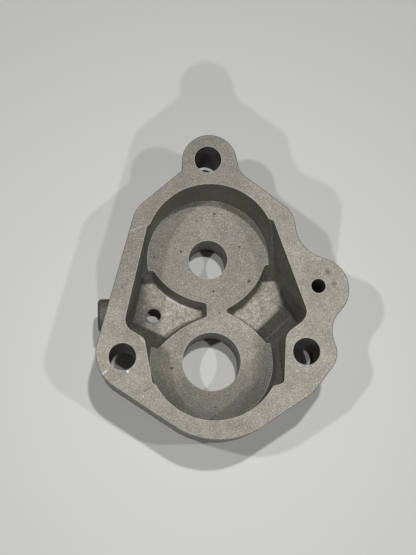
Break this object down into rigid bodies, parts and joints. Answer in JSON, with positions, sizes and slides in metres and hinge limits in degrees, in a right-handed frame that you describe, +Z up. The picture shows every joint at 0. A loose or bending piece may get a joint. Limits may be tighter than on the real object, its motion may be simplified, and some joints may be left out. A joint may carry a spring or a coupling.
{
  "type": "die cast housing",
  "caption": "Open, lobed aluminium die cast housing with two overlapping round pockets, bearing bores, side chambers and bolt lobes",
  "frame": {"origin": "on the axis of the larger (lower) bearing bore, in the plane of the feet of the two hubs", "axes": "+Z up along the bores to the open joint face, +Y from the larger bore to the smaller one, +X towards the lobe with the dowel hole"},
  "size_m": [0.0839, 0.1019, 0.038],
  "materials": {
    "cast_aluminium": "fine blasted die cast skin, matt"
  },
  "bodies": {
    "root": {"housing": "cast_aluminium"}
  },
  "joints": []
}
